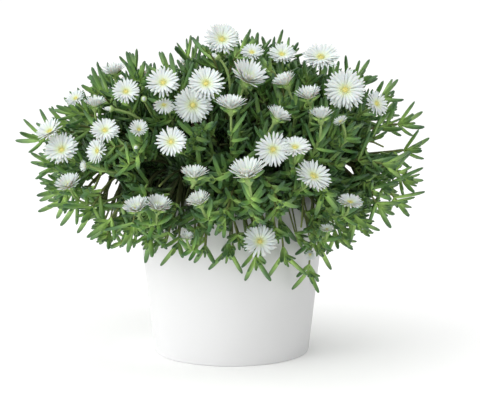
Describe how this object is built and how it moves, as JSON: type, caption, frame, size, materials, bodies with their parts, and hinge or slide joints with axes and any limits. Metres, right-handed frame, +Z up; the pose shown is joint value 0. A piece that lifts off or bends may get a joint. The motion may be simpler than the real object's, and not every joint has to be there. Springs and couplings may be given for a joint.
{
  "type": "potted ice plant",
  "caption": "Bushy flowering ice plant with fleshy finger leaves and white daisy-like blooms, in a plain white tapered pot.",
  "frame": {"origin": "middle of the pot's flat underside", "axes": "+Z up along the pot; the front that the picture shows faces -Y and its right side is +X"},
  "size_m": [0.32, 0.3092, 0.259],
  "materials": {
    "pot": "matt white glaze",
    "soil": "crumbly, damp",
    "foliage": "fleshy, soft sheen",
    "petals": "silky white"
  },
  "bodies": {
    "root": {"bloom_01": "petals", "bloom_02": "petals", "bloom_03": "petals", "bloom_04": "petals", "bloom_05": "petals", "bloom_06": "petals", "bloom_07": "petals", "bloom_08": "petals", "bloom_09": "petals", "bloom_10": "petals", "bloom_11": "petals", "bloom_12": "petals", "bloom_13": "petals", "bloom_14": "petals", "bloom_15": "petals", "bloom_16": "petals", "bloom_17": "petals", "bloom_18": "petals", "bloom_19": "petals", "bloom_20": "petals", "bloom_21": "petals", "bloom_22": "petals", "bloom_23": "petals", "bloom_24": "petals", "bloom_25": "petals", "bloom_26": "petals", "bloom_27": "petals", "bloom_28": "petals", "bloom_29": "petals", "bloom_30": "petals", "bloom_31": "petals", "bloom_32": "petals", "bloom_33": "petals", "bloom_34": "petals", "bloom_35": "petals", "bloom_36": "petals", "bloom_37": "petals", "bloom_38": "petals", "bloom_39": "petals", "bloom_40": "petals", "bloom_41": "petals", "bloom_42": "petals", "bloom_43": "petals", "bloom_44": "petals", "bloom_45": "petals", "bloom_46": "petals", "bloom_47": "petals", "bloom_48": "petals", "leafy_stem_01": "foliage", "leafy_stem_02": "foliage", "leafy_stem_03": "foliage", "leafy_stem_04": "foliage", "leafy_stem_05": "foliage", "leafy_stem_06": "foliage", "leafy_stem_07": "foliage", "leafy_stem_08": "foliage", "leafy_stem_09": "foliage", "leafy_stem_middle": "foliage", "pot": "pot", "soil": "soil"}
  },
  "joints": []
}
